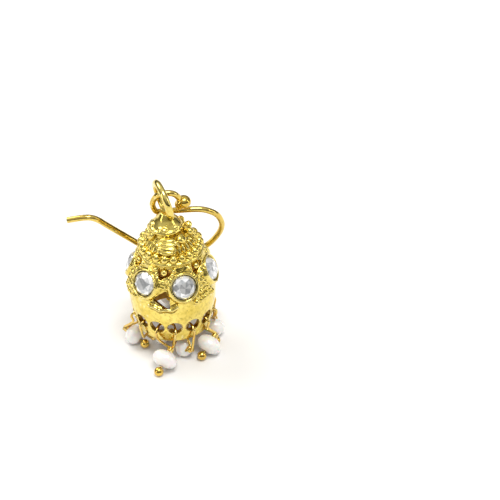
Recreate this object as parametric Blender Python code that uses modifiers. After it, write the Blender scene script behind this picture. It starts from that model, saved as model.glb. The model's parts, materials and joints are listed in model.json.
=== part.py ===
"""Bell-shaped drop earring standing on its pearls, with its ear wire fallen back behind it.

Metres, +Z up. The front of the bell looks along -Y. The floor is z = 0, and the origin is
the middle of the bottom of the whole earring's box.
"""
import math

import bmesh
import bpy
from mathutils import Matrix, Vector

# Place of the bell's axis, and the height at which the pearls hold its rim
BELL_X = 0.00361
BELL_Y = -0.00049
RIM_HEIGHT = 0.0038

# Bell casting, heights measured up from the rim
RIM_RADIUS = 0.0059
BAND_RADIUS = 0.0068
BAND_HEIGHT = 0.0064
SHOULDER_RADIUS = 0.0050
SHOULDER_HEIGHT = 0.0139
CROWN_HEIGHT = 0.0173
WALL = 0.0009
RIM_ROUND = 0.00025
CEILING_DROP = 0.0016
BELL_SIDES = 36

# Row of round holes above the rim
HOLE_COUNT = 14
HOLE_RADIUS = 0.00118
HOLE_HEIGHT = 0.0032
HOLE_AZIMUTH = 1.0
HOLE_SIDES = 12

# Stones and the cups that hold them
STONE_COUNT = 6
STONE_AZIMUTH = 16.5
STONE_HEIGHT = 0.0108
STONE_TILT = 24.0
STONE_RADIUS = 0.0019
STONE_CROWN = 0.00075
STONE_PAVILION = 0.0008
STONE_GIRDLE = 0.00018
STONE_CLEARANCE = 0.00022
CUP_LIP = 0.00035
CUP_WALL = 0.00032
CUP_FLARE = 0.00028
CUP_FLOOR = 0.0004
CUP_SIDES = 16

# Openwork between the stones: every second panel is open, the others carry grains
OPENING_WIDTH = 0.0034
OPENING_HEIGHT = 0.0038
OPENING_BASE = 0.0074
RECESS_WIDTH = 0.0020
RECESS_HEIGHT = 0.0014
RECESS_TOP = 0.01447
RECESS_DEPTH = 0.0004
RIDGE_RADIUS = 0.00034
RIDGE_SPAN = 42.0
RIDGE_DROP = 0.0003
RIDGE_RISE = 0.00035
GRAIN_RADIUS = 0.00058
GRAIN_ROWS = 3

# Stepped crown: ribbed ring, boss, beads, neck and the soldered ring
RIBBED_RADIUS = 0.00495
RIBBED_HEIGHT = 0.0149
RIBBED_DEPTH = 0.0015
RIB_COUNT = 34
RIB_RELIEF = 0.00011
TIER_RADIUS = 0.0037
TIER_DROP = 0.0005
TIER_HEIGHT = CROWN_HEIGHT - TIER_DROP
BOSS_SHIFT = -0.0006
BOSS_RADIUS = 0.0026
BOSS_RISE = 0.0017
BOSS_TOP = CROWN_HEIGHT + BOSS_RISE
BOSS_BEAD_RADIUS = 0.0006
BOSS_BEAD_RING = 0.0031
BOSS_BEAD_STEP = 34.0
NECK_RADIUS = 0.0019
NECK_TOP_RADIUS = 0.0011
NECK_HEIGHT = 0.0018
RING_RADIUS = 0.00285
RING_WIRE = 0.00053
RING_RISE = 0.0017
RING_CENTRE = Vector((-0.0008, 0.00095, BOSS_TOP + NECK_HEIGHT + RING_RISE))
RING_LEAN = 20.0
RING_SIGHT = 39.6
RING_OPEN = 6.0

# Ear wire, drawn in its own plane: along the straight, and up from it
WIRE_RADIUS = 0.00048
HOOK_WIDTH = 0.0082
HOOK_DROP = 0.0126
HOOK_REACH = 0.0158
EYE_WIDTH = 0.0039
EYE_HEIGHT = 0.0051
HOOK_PLANE_TILT = 20.0
HOOK_PLANE_BACK = 0.00384
HOOK_PLANE_DROP = 0.00439
HOOK_PLANE_HEIGHT = RING_CENTRE.z - HOOK_PLANE_DROP
END_BALL_RADIUS = 0.0012

# Pearls and their head pins
PEARL_BORE = 0.0005
PIN_RADIUS = 0.0002
PIN_CLEARANCE = 0.00035
PIN_HEAD_RADIUS = 0.00075
PIN_HEAD_GAP = 0.00025
WRAP_RADIUS = 0.00046
WRAP_LENGTH = 0.0008
WRAP_GAP = 0.00015
PEARL_SIDES = 12
PIN_SIDES = 8

# One row per drop: pearl radius and half thickness, its place round the bell's axis as
# azimuth and reach beyond the rim, the way its head points (heading), and the holes its
# loop passes
DROP_COLUMNS = ("radius", "half", "azimuth", "reach", "heading", "holes")
DROPS = (
    (0.0021, 0.00120, -12.0, 0.00200, -36.0, (-1, 0)),
    (0.0015, 0.00120, 17.7, -0.00119, -145.0, (1,)),
    (0.0020, 0.00120, 50.0, 0.00115, -42.0, (2,)),
    (0.0016, 0.00120, 88.0, 0.00060, 0.0, (3, 4)),
    (0.0019, 0.00135, 145.0, 0.00230, 160.0, (5,)),
    (0.0020, 0.00140, -179.0, 0.00230, 165.0, (6, 7)),
    (0.0018, 0.00130, -144.0, 0.00210, -160.0, (-6, -5)),
    (0.00155, 0.00125, -81.6, 0.00060, 50.0, (-3,)),
    (0.0015, 0.00120, -58.0, -0.00340, 128.0, (-2,)),
)

GOLD = ((0.80, 0.56, 0.16, 1.0), 0.22, 1.0)
PIN_GOLD = ((0.76, 0.45, 0.08, 1.0), 0.22, 1.0)
CRYSTAL = ((0.88, 0.90, 0.92, 1.0), 0.05, 0.0)
PEARL = ((0.92, 0.90, 0.87, 1.0), 0.20, 0.0)


def clear_scene():
    for obj in list(bpy.data.objects):
        bpy.data.objects.remove(obj, do_unlink=True)


def new_collection(name):
    collection = bpy.data.collections.new(name)
    bpy.context.scene.collection.children.link(collection)
    return collection


def material(name, look):
    colour, roughness, metallic = look
    made = bpy.data.materials.new(name)
    made.use_nodes = True
    shader = made.node_tree.nodes["Principled BSDF"]
    shader.inputs["Base Color"].default_value = colour
    shader.inputs["Roughness"].default_value = roughness
    shader.inputs["Metallic"].default_value = metallic
    made.diffuse_color = colour
    return made


def evaluated_mesh(obj):
    """The object's mesh with its modifiers and its transform applied; the object goes."""
    bpy.context.view_layer.update()
    graph = bpy.context.evaluated_depsgraph_get()
    mesh = bpy.data.meshes.new_from_object(obj.evaluated_get(graph))
    mesh.transform(obj.matrix_world)
    bpy.data.objects.remove(obj, do_unlink=True)
    return mesh


def welded(mesh):
    """The mesh with its coincident points joined, as at a curve's caps."""
    work = bmesh.new()
    work.from_mesh(mesh)
    bmesh.ops.remove_doubles(work, verts=work.verts, dist=0.000001)
    work.to_mesh(mesh)
    work.free()
    return mesh


def in_triangles(mesh):
    """The mesh with its bent faces split, because a Boolean wants flat ones."""
    work = bmesh.new()
    work.from_mesh(mesh)
    bmesh.ops.triangulate(work, faces=work.faces)
    work.to_mesh(mesh)
    work.free()
    return mesh


def helper(name, data):
    """An object among the cutters and guides, which are not part of the earring."""
    obj = bpy.data.objects.new(name, data)
    obj.hide_render = True
    obj.display_type = "WIRE"
    TOOLS.objects.link(obj)
    return obj


def turned(name, profile, steps, frame=None):
    """A profile of (radius, height) from top to bottom, turned round Z with a Screw."""
    mesh = bpy.data.meshes.new(name)
    verts = [(radius, 0.0, height) for radius, height in profile]
    closed = profile[0][0] > 0.0
    edges = [(i, i + 1) for i in range(len(verts) - 1)]
    if closed:
        edges.append((len(verts) - 1, 0))
    mesh.from_pydata(verts, edges, [])
    obj = helper(name, mesh)
    screw = obj.modifiers.new("turn", "SCREW")
    screw.steps = steps
    screw.render_steps = steps
    screw.use_merge_vertices = True
    screw.merge_threshold = 0.000001
    if frame is not None:
        obj.matrix_world = frame
    return welded(evaluated_mesh(obj))


def tube(name, points, radius, resolution, closed=False):
    """A round wire along the points, a POLY curve with a bevel and filled caps."""
    curve = bpy.data.curves.new(name, "CURVE")
    curve.dimensions = "3D"
    curve.bevel_depth = radius
    curve.bevel_resolution = resolution
    curve.use_fill_caps = True
    spline = curve.splines.new("POLY")
    spline.points.add(len(points) - 1)
    for slot, point in zip(spline.points, points):
        slot.co = (point[0], point[1], point[2], 1.0)
    spline.use_cyclic_u = closed
    return in_triangles(welded(evaluated_mesh(helper(name, curve))))


def flowing(points, spans, closed=False):
    """Catmull-Rom points through the route's own points, with so many spans between two."""
    count = len(points)
    result = []
    for i in range(count if closed else count - 1):
        if closed:
            before, start, end, after = [points[(i + k) % count] for k in (-1, 0, 1, 2)]
        else:
            before, start = points[max(i - 1, 0)], points[i]
            end, after = points[i + 1], points[min(i + 2, count - 1)]
        for step in range(spans):
            t = step / spans
            result.append(0.5 * (2 * start + (end - before) * t
                                 + (2 * before - 5 * start + 4 * end - after) * t ** 2
                                 + (3 * start - before - 3 * end + after) * t ** 3))
    if not closed:
        result.append(points[-1])
    return result


def merged(name, meshes):
    """Several separate closed meshes as one mesh, for a cutter or an addition."""
    work = bmesh.new()
    for mesh in meshes:
        work.from_mesh(mesh)
        bpy.data.meshes.remove(mesh)
    result = bpy.data.meshes.new(name)
    work.to_mesh(result)
    work.free()
    return result


def combined(base, other, operation):
    """The mesh of base after a union with the other mesh, or a difference by it."""
    target = helper("base", base)
    tool = helper("tool", other)
    boolean = target.modifiers.new("combine", "BOOLEAN")
    boolean.operation = operation
    boolean.solver = "EXACT"
    boolean.object = tool
    result = evaluated_mesh(target)
    bpy.data.objects.remove(tool, do_unlink=True)
    return result


def part(name, mesh, look, angle=35.0):
    """A finished piece: its mesh, its own material and smooth shading up to the angle."""
    mesh.name = name
    mesh.materials.clear()
    mesh.materials.append(material(name + "_finish", look))
    mesh.shade_smooth()
    mesh.set_sharp_from_angle(angle=math.radians(angle))
    obj = bpy.data.objects.new(name, mesh)
    EARRING.objects.link(obj)
    return obj


def grain(radius, place, sides=6, rings=4):
    """A small ball as a mesh."""
    work = bmesh.new()
    bmesh.ops.create_uvsphere(work, u_segments=sides, v_segments=rings, radius=radius)
    bmesh.ops.translate(work, verts=work.verts, vec=place)
    mesh = bpy.data.meshes.new("grain")
    work.to_mesh(mesh)
    work.free()
    return mesh


def prism(sides, radius, top_radius, depth, frame):
    """A cylinder, cone or prism primitive along the frame's Z, centred on it."""
    work = bmesh.new()
    bmesh.ops.create_cone(work, cap_ends=True, segments=sides, radius1=radius, radius2=top_radius,
                          depth=depth)
    bmesh.ops.transform(work, matrix=frame, verts=work.verts)
    bmesh.ops.recalc_face_normals(work, faces=work.faces)
    mesh = bpy.data.meshes.new("prism")
    work.to_mesh(mesh)
    work.free()
    return mesh


def around(azimuth, radius, height):
    """A point round the bell's axis: azimuth 0 is the front (-Y), + is towards +X."""
    angle = math.radians(azimuth)
    return Vector((radius * math.sin(angle), -radius * math.cos(angle), height))


def outward(azimuth, radius, height, tilt=0.0):
    """A frame at such a point whose Z looks outwards and up by the tilt, X along the wall."""
    turn = Matrix.Rotation(math.radians(azimuth), 4, "Z")
    lean = Matrix.Rotation(math.radians(90.0 - tilt), 4, "X")
    return Matrix.Translation(around(azimuth, radius, height)) @ turn @ lean


def wall_radius(height):
    """Outer radius of the bell's wall at a height above the rim."""
    if height <= BAND_HEIGHT:
        rise = math.sin(math.pi / 2 * max(height, 0.0) / BAND_HEIGHT)
        return RIM_RADIUS + (BAND_RADIUS - RIM_RADIUS) * rise
    rise = min((height - BAND_HEIGHT) / (SHOULDER_HEIGHT - BAND_HEIGHT), 1.0)
    return SHOULDER_RADIUS + (BAND_RADIUS - SHOULDER_RADIUS) * math.cos(math.pi / 2 * rise)


def hole_azimuth(index):
    return HOLE_AZIMUTH + index * 360.0 / HOLE_COUNT


def stone_azimuths():
    return [STONE_AZIMUTH + i * 360.0 / STONE_COUNT for i in range(STONE_COUNT)]


def panel_azimuths():
    """The middles of the panels between two stones, the open front one first."""
    return [azimuth - 180.0 / STONE_COUNT for azimuth in stone_azimuths()]


def bell_shell():
    """The hollow bell up to its crown, one closed profile turned round the axis."""
    levels = [BAND_HEIGHT * share for share in (0.3, 0.6, 1.0)]
    upper = SHOULDER_HEIGHT - BAND_HEIGHT
    levels += [BAND_HEIGHT + upper * share for share in (0.35, 0.7, 1.0)]
    outer = [(wall_radius(level), level) for level in levels]
    outer.insert(0, (RIM_RADIUS, RIM_ROUND))
    crown = [
        (0.0, CROWN_HEIGHT),
        (BOSS_RADIUS, CROWN_HEIGHT),
        (TIER_RADIUS, TIER_HEIGHT),
        (TIER_RADIUS * 0.97, TIER_HEIGHT - WALL * 0.6),
        (TIER_RADIUS, RIBBED_HEIGHT),
    ]
    profile = crown + outer[::-1]
    profile.append((RIM_RADIUS - RIM_ROUND, 0.0))
    profile.append((RIM_RADIUS - WALL + RIM_ROUND, 0.0))
    ceiling = RIBBED_HEIGHT
    inner_top = ceiling - CEILING_DROP
    inner = [(radius - WALL, level) for radius, level in outer if level < inner_top - WALL]
    profile += inner
    profile.append((SHOULDER_RADIUS - WALL, inner_top))
    profile.append((0.0, ceiling))
    return turned("shell", profile, BELL_SIDES)


def hole_cutters():
    depth = BAND_RADIUS
    return merged("holes", [
        prism(HOLE_SIDES, HOLE_RADIUS, HOLE_RADIUS, depth,
              outward(hole_azimuth(i), wall_radius(HOLE_HEIGHT), HOLE_HEIGHT))
        for i in range(HOLE_COUNT)])


def triangle(azimuth, width, height, base, depth, radius):
    """A triangular prism through the wall: its base edge is level, its point is up."""
    frame = outward(azimuth, radius, base + height / 3.0)
    shape = Matrix.Diagonal((width / math.sqrt(3.0), height / 1.5, 1.0, 1.0))
    return prism(3, 1.0, 1.0, depth, frame @ shape @ Matrix.Rotation(math.pi / 2, 4, "Z"))


def opening_cutters():
    middle = wall_radius(OPENING_BASE + OPENING_HEIGHT / 2)
    return merged("openings", [
        triangle(azimuth, OPENING_WIDTH, OPENING_HEIGHT, OPENING_BASE, BAND_RADIUS, middle)
        for azimuth in panel_azimuths()[::2]])


def recess_cutters():
    """Shallow triangles, point down, under the ribbed ring."""
    depth = 2 * RECESS_DEPTH
    base = RECESS_TOP - 2 * RECESS_HEIGHT / 3
    radius = wall_radius(base) + RECESS_DEPTH * 0.2
    return merged("recesses", [
        triangle(azimuth, RECESS_WIDTH, -RECESS_HEIGHT, RECESS_TOP, depth, radius)
        for azimuth in panel_azimuths()])


def cups():
    """The round cups that hold the stones, widest where they leave the wall."""
    mouth = STONE_RADIUS + STONE_CLEARANCE + CUP_WALL
    depth = STONE_PAVILION + STONE_CLEARANCE + CUP_FLOOR
    profile = [(0.0, CUP_LIP), (mouth, CUP_LIP), (mouth + CUP_FLARE, -CUP_LIP),
               (STONE_RADIUS, -depth), (0.0, -depth)]
    return merged("cups", [
        turned("cup", profile, CUP_SIDES, outward(azimuth, wall_radius(STONE_HEIGHT), STONE_HEIGHT,
                                                  STONE_TILT))
        for azimuth in stone_azimuths()])


def cup_pockets():
    mouth = STONE_RADIUS + STONE_CLEARANCE
    floor = STONE_PAVILION + STONE_CLEARANCE
    profile = [(0.0, 3 * CUP_LIP), (mouth, 3 * CUP_LIP), (mouth, -floor * 0.25),
               (mouth * 0.5, -floor), (0.0, -floor)]
    return merged("pockets", [
        turned("pocket", profile, CUP_SIDES, outward(azimuth, wall_radius(STONE_HEIGHT),
                                                     STONE_HEIGHT, STONE_TILT))
        for azimuth in stone_azimuths()])


def ridges():
    """The short raised rope under each open panel, a little higher at its ends."""
    made = []
    for azimuth in panel_azimuths()[::2]:
        points = []
        for step in range(-4, 5):
            level = OPENING_BASE - RIDGE_DROP + RIDGE_RISE * (step / 4) ** 2
            points.append(around(azimuth + step / 8 * RIDGE_SPAN,
                                 wall_radius(level) - RIDGE_RADIUS * 0.2, level))
        made.append(tube("ridge", points, RIDGE_RADIUS, 1))
    return merged("ridges", made)


def grains():
    """Grains heaped as a triangle on each closed panel, and one in every recess."""
    made = []
    pitch = 2.12 * GRAIN_RADIUS
    for azimuth in panel_azimuths()[1::2]:
        for row in range(GRAIN_ROWS):
            level = OPENING_BASE + GRAIN_RADIUS + row * pitch
            count = GRAIN_ROWS - row
            radius = wall_radius(level)
            for i in range(count):
                offset = math.degrees((i - (count - 1) / 2) * pitch / radius)
                made.append(grain(GRAIN_RADIUS, around(azimuth + offset, radius, level)))
    for azimuth in panel_azimuths():
        level = RECESS_TOP - RECESS_HEIGHT * 0.42
        made.append(grain(GRAIN_RADIUS * 1.1, around(azimuth, wall_radius(level), level)))
    return merged("grains", made)


def ribbed_ring():
    """The ring of radial ribs at the foot of the crown."""
    low = RIBBED_HEIGHT - RIBBED_DEPTH / 2
    inner = TIER_RADIUS * 0.9
    profile = [(inner, RIBBED_HEIGHT + RIBBED_DEPTH * 0.6),
               (inner * 1.12, RIBBED_HEIGHT + RIBBED_DEPTH * 0.55),
               (RIBBED_RADIUS * 0.98, RIBBED_HEIGHT + RIBBED_DEPTH * 0.2),
               (RIBBED_RADIUS * 0.97, low + RIBBED_DEPTH * 0.1), (inner, low)]
    mesh = turned("ribs", profile, 2 * RIB_COUNT)
    for vertex in mesh.vertices:
        angle = math.atan2(vertex.co.y, vertex.co.x)
        reach = math.hypot(vertex.co.x, vertex.co.y)
        if reach > inner * 1.05:
            wave = RIB_RELIEF * math.cos(RIB_COUNT * angle)
            away = Vector((vertex.co.x, vertex.co.y, 0.0)).normalized()
            vertex.co += (away + Vector((0.0, 0.0, 0.7))) * wave
    return in_triangles(mesh)


def boss():
    """The round boss on top of the crown, a little off the axis."""
    profile = [(0.0, BOSS_TOP), (BOSS_RADIUS * 0.74, BOSS_TOP),
               (BOSS_RADIUS * 0.95, BOSS_TOP - WALL * 0.25), (BOSS_RADIUS, BOSS_TOP - WALL * 0.6),
               (BOSS_RADIUS * 0.93, BOSS_TOP - WALL * 1.35), (BOSS_RADIUS * 1.02, CROWN_HEIGHT),
               (BOSS_RADIUS * 1.1, CROWN_HEIGHT - WALL * 0.5), (0.0, CROWN_HEIGHT - WALL * 0.5)]
    return turned("boss", profile, 16, Matrix.Translation((BOSS_SHIFT, 0.0, 0.0)))


def boss_beads():
    """Beads standing on the tier round the sides and back of the boss, three on each side."""
    made = []
    for step in (-3, -2, -1, 1, 2, 3):
        place = around(180.0 + step * BOSS_BEAD_STEP, BOSS_BEAD_RING,
                       CROWN_HEIGHT + BOSS_BEAD_RADIUS * 0.45)
        made.append(grain(BOSS_BEAD_RADIUS, place, 7, 4))
    return merged("boss_beads", made)


def neck():
    place = Matrix.Translation((BOSS_SHIFT * 0.8, 0.0, BOSS_TOP + NECK_HEIGHT * 0.4))
    return prism(12, NECK_RADIUS, NECK_TOP_RADIUS, NECK_HEIGHT, place)


def ring_frame():
    """The ring stands nearly edge-on to the sight line, leaning to the left."""
    sight = math.radians(RING_SIGHT)
    lean = math.radians(RING_LEAN)
    turn = math.radians(RING_OPEN)
    level = Vector((1.0, 0.0, 0.0))
    rise = Vector((0.0, math.sin(sight), math.cos(sight)))
    near = Vector((0.0, -math.cos(sight), math.sin(sight)))
    along = rise * math.cos(lean) - level * math.sin(lean)
    across = level * math.cos(lean) + rise * math.sin(lean)
    front = near * math.cos(turn) + across * math.sin(turn)
    normal = along.cross(front)
    frame = Matrix((along, front, normal)).transposed().to_4x4()
    return Matrix.Translation(RING_CENTRE) @ frame


def ring():
    """The round wire ring soldered to the neck."""
    count = 18
    points = []
    for i in range(count):
        angle = 2 * math.pi * i / count
        points.append(ring_frame() @ Vector((RING_RADIUS * math.cos(angle),
                                              RING_RADIUS * math.sin(angle), 0.0)))
    return tube("ring", points, RING_WIRE, 2, closed=True)


def bell():
    mesh = bell_shell()
    mesh = combined(mesh, opening_cutters(), "DIFFERENCE")
    mesh = combined(mesh, recess_cutters(), "DIFFERENCE")
    mesh = combined(mesh, hole_cutters(), "DIFFERENCE")
    mesh = combined(mesh, ribbed_ring(), "UNION")
    mesh = combined(mesh, boss(), "UNION")
    mesh = combined(mesh, neck(), "UNION")
    mesh = combined(mesh, ring(), "UNION")
    mesh = combined(mesh, boss_beads(), "UNION")
    mesh = combined(mesh, ridges(), "UNION")
    mesh = combined(mesh, grains(), "UNION")
    mesh = combined(mesh, cups(), "UNION")
    mesh = combined(mesh, cup_pockets(), "DIFFERENCE")
    return mesh


def stone(azimuth):
    """A round brilliant: table, crown facets, girdle, pavilion and culet, as a hull."""
    table = STONE_RADIUS * 0.56
    middle = STONE_RADIUS * 0.84
    rings = (
        (8, table, STONE_CROWN + STONE_GIRDLE, 0.5),
        (8, middle, STONE_CROWN * 0.5 + STONE_GIRDLE, 0.0),
        (16, STONE_RADIUS, STONE_GIRDLE, 0.0),
        (16, STONE_RADIUS, 0.0, 0.0),
        (8, STONE_RADIUS * 0.5, -STONE_PAVILION * 0.62, 0.5),
        (1, 0.0, -STONE_PAVILION, 0.0),
    )
    work = bmesh.new()
    for count, radius, level, shift in rings:
        for i in range(count):
            angle = 2 * math.pi * (i + shift) / count
            work.verts.new((radius * math.cos(angle), radius * math.sin(angle), level))
    bmesh.ops.convex_hull(work, input=work.verts)
    bmesh.ops.transform(work, verts=work.verts,
                        matrix=outward(azimuth, wall_radius(STONE_HEIGHT), STONE_HEIGHT, STONE_TILT))
    bmesh.ops.recalc_face_normals(work, faces=work.faces)
    mesh = bpy.data.meshes.new("stone")
    work.to_mesh(mesh)
    work.free()
    return mesh


def hook_point(along, up):
    """A point of the ear wire's own plane, which leans back as it goes down."""
    tilt = math.radians(HOOK_PLANE_TILT)
    return Vector((along, HOOK_PLANE_BACK - up * math.sin(tilt),
                   HOOK_PLANE_HEIGHT + up * math.cos(tilt)))


def ear_wire():
    """Ball, eye through the ring, straight, bend, long leg behind the bell, and the cut tip."""
    eye_middle = -0.12 * EYE_WIDTH
    eye = ((0.50, 0.80), (0.30, 0.99), (-0.05, 1.03), (-0.33, 0.90), (-0.50, 0.56),
           (-0.47, 0.25), (-0.30, 0.06))
    points = [hook_point(END_BALL_RADIUS * 1.75, EYE_HEIGHT * 0.50)]
    points += [hook_point(eye_middle + x * EYE_WIDTH, y * EYE_HEIGHT) for x, y in eye]
    straight_and_bend = ((0.10, 0.035), (0.55, 0.04), (0.78, -0.02), (0.93, -0.13), (1.0, -0.32),
                         (0.94, -0.52), (0.75, -0.75), (0.48, -0.92), (0.18, -1.0))
    points += [hook_point(x * HOOK_WIDTH, y * HOOK_DROP) for x, y in straight_and_bend]
    leg = ((-0.06, -0.98), (-0.20, -0.86), (-0.33, -0.66), (-0.60, -0.25), (-0.69, -0.11),
           (-0.76, -0.045), (-0.84, -0.035), (-1.0, -0.07))
    points += [hook_point(x * HOOK_REACH, y * HOOK_DROP) for x, y in leg]
    mesh = tube("wire", flowing(points, 2), WIRE_RADIUS, 2)
    return combined(mesh, grain(END_BALL_RADIUS, points[0], 12, 8), "UNION")


def resting_tilt(radius, half, head):
    """How far a pin slopes down when its pearl and its ball head both rest on the floor.

    With s the sine of the slope, the pearl's half height squared, radius^2 (1 - s^2) +
    half^2 s^2, equals the square of the centre's height, head radius + head s.
    """
    square = head ** 2 + radius ** 2 - half ** 2
    linear = PIN_HEAD_RADIUS * head
    constant = PIN_HEAD_RADIUS ** 2 - radius ** 2
    return math.asin((-linear + math.sqrt(linear ** 2 - square * constant)) / square)


def pearl_places():
    """For each drop: the pearl's centre and the frame of its pin, whose Z points up the pin."""
    places = []
    for row in DROPS:
        drop = dict(zip(DROP_COLUMNS, row))
        head = drop["half"] + PIN_HEAD_GAP + PIN_HEAD_RADIUS
        tilt = resting_tilt(drop["radius"], drop["half"], head)
        level = PIN_HEAD_RADIUS + head * math.sin(tilt) - RIM_HEIGHT
        centre = around(drop["azimuth"], RIM_RADIUS + drop["reach"], level)
        frame = (Matrix.Translation(centre)
                 @ Matrix.Rotation(math.radians(drop["heading"]), 4, "Z")
                 @ Matrix.Rotation(-(math.pi / 2 - tilt), 4, "X"))
        drop["frame"] = frame
        drop["head"] = head
        places.append(drop)
    return places


def pearl(drop):
    """A button pearl, drilled through its thickness."""
    bore = PEARL_BORE
    count = 7
    edge = math.asin(bore / drop["radius"])
    profile = []
    for i in range(count):
        angle = edge + (math.pi - 2 * edge) * i / (count - 1)
        profile.append((drop["radius"] * math.sin(angle), drop["half"] * math.cos(angle)))
    return turned("pearl", profile, PEARL_SIDES, drop["frame"])


def narrow_loop(start, index):
    """Pin wire from the wraps, up outside the wall, in through one hole and back under the rim.

    It passes under the rim straight above the wraps. Where these are inside the bell, the
    wire goes under the rim first.
    """
    azimuth = hole_azimuth(index)
    below = math.degrees(math.atan2(start.x, -start.y))
    away = PIN_RADIUS + PIN_CLEARANCE
    sill = HOLE_HEIGHT - HOLE_RADIUS
    foot = RIM_RADIUS - WALL
    outside = [
        around(azimuth, wall_radius(sill / 2) + away, sill / 2),
        around(azimuth, wall_radius(sill) + away, sill + away * 0.5),
    ]
    inside = [
        around(azimuth, wall_radius(sill) - WALL / 2, sill + away * 1.6),
        around(azimuth, wall_radius(sill) - WALL - away, sill + away * 0.4),
        around((azimuth + below) / 2, foot - away * 0.9, sill / 4),
    ]
    under = around(below, foot + WALL / 2, -away)
    if math.hypot(start.x, start.y) > foot:
        return [start] + outside + inside + [around(below, foot - away * 0.4, -away * 0.7), under]
    return [start, under, around(azimuth, RIM_RADIUS + away * 0.8, -away * 0.4)] + outside + inside


def wide_loop(start, first, second):
    """Pin wire from the wraps, in through one hole, behind the post and out of the next."""
    low, high = hole_azimuth(first), hole_azimuth(second)
    middle = (low + high) / 2
    away = PIN_RADIUS + PIN_CLEARANCE
    sill = HOLE_HEIGHT - HOLE_RADIUS
    outside = [(sill * 0.45, away, 0.85), (sill + away * 0.5, away * 0.9, 1.0)]
    side = [(azimuth, around(middle + (azimuth - middle) * share, wall_radius(level) + gap, level))
            for azimuth in (low, high) for level, gap, share in outside]
    inner = [around(middle + (azimuth - middle) * 0.75, wall_radius(HOLE_HEIGHT) - WALL - away,
                    HOLE_HEIGHT - away * 0.5) for azimuth in (low, high)]
    in_hole = [around(azimuth, wall_radius(sill) - WALL / 2, sill + away * 1.7)
               for azimuth in (low, high)]
    return [start, side[0][1], side[1][1], in_hole[0], inner[0],
            around(middle, wall_radius(HOLE_HEIGHT) - WALL - away * 1.1, HOLE_HEIGHT - away * 0.3),
            inner[1], in_hole[1], side[3][1], side[2][1]]


def head_pin(drop):
    """Ball head, stem through the pearl, wraps above it and the loop through the bell."""
    low = -drop["head"]
    wrap_start = drop["half"] + WRAP_GAP
    wrap_end = wrap_start + WRAP_LENGTH
    turns = 2
    profile = [(0.0, wrap_end + PIN_RADIUS), (PIN_RADIUS, wrap_end + PIN_RADIUS * 0.5)]
    for turn in range(turns):
        middle = wrap_end - WRAP_LENGTH * (turn + 0.5) / turns
        profile.append((WRAP_RADIUS, middle))
        groove = WRAP_RADIUS * 0.7 if turn < turns - 1 else PIN_RADIUS
        profile.append((groove, middle - WRAP_LENGTH * 0.5 / turns))
    rings = 4
    neck_angle = math.asin(PIN_RADIUS / PIN_HEAD_RADIUS)
    for i in range(rings):
        angle = neck_angle + (math.pi - neck_angle) * i / rings
        profile.append((PIN_HEAD_RADIUS * math.sin(angle), low + PIN_HEAD_RADIUS * math.cos(angle)))
    profile.append((0.0, low - PIN_HEAD_RADIUS))
    body = turned("pin", profile, PIN_SIDES, drop["frame"])
    start = drop["frame"] @ Vector((0.0, 0.0, wrap_end - PIN_RADIUS * 0.5))
    if len(drop["holes"]) == 1:
        route = narrow_loop(start, drop["holes"][0])
    else:
        route = wide_loop(start, *drop["holes"])
    loop = tube("loop", flowing(route, 2, closed=True), PIN_RADIUS, 1, closed=True)
    return combined(body, loop, "UNION")


def build():
    part("bell", bell(), GOLD)
    part("ear_wire", ear_wire(), GOLD)
    for number, azimuth in enumerate(stone_azimuths(), 1):
        part(f"stone_{number}", stone(azimuth), CRYSTAL, 5.0)
    for number, drop in enumerate(pearl_places(), 1):
        part(f"pearl_{number}", pearl(drop), PEARL)
        part(f"head_pin_{number}", head_pin(drop), PIN_GOLD)
    seat = bpy.data.objects.new("earring_seat", None)
    EARRING.objects.link(seat)
    for obj in EARRING.objects:
        if obj is not seat:
            obj.parent = seat
    seat.location = (BELL_X, BELL_Y, RIM_HEIGHT)


clear_scene()
EARRING = new_collection("earring")
TOOLS = new_collection("cutters")
build()
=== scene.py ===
import json
import math

import bmesh
import bpy
from mathutils import Matrix, Vector, noise

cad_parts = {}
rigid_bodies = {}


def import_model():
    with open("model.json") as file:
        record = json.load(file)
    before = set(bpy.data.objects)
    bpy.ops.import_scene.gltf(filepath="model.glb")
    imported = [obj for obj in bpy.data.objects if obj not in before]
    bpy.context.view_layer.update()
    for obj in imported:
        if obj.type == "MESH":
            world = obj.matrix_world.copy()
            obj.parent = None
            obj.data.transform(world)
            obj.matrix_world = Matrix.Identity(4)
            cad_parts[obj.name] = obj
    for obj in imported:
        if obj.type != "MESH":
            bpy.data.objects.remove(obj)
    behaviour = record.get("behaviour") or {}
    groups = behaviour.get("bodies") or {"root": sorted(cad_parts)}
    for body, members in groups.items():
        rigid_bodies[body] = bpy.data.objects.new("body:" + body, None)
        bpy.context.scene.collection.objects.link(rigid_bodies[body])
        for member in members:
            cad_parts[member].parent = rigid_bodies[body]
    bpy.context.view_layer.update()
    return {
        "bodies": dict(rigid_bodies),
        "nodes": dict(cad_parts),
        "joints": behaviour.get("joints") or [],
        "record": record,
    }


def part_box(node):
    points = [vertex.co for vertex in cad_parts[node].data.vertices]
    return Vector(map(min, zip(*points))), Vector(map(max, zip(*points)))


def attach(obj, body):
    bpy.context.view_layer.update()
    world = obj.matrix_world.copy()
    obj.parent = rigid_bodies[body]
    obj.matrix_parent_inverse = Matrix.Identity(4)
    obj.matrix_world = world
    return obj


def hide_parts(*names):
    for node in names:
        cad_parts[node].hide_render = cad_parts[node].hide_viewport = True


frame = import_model()

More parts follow.
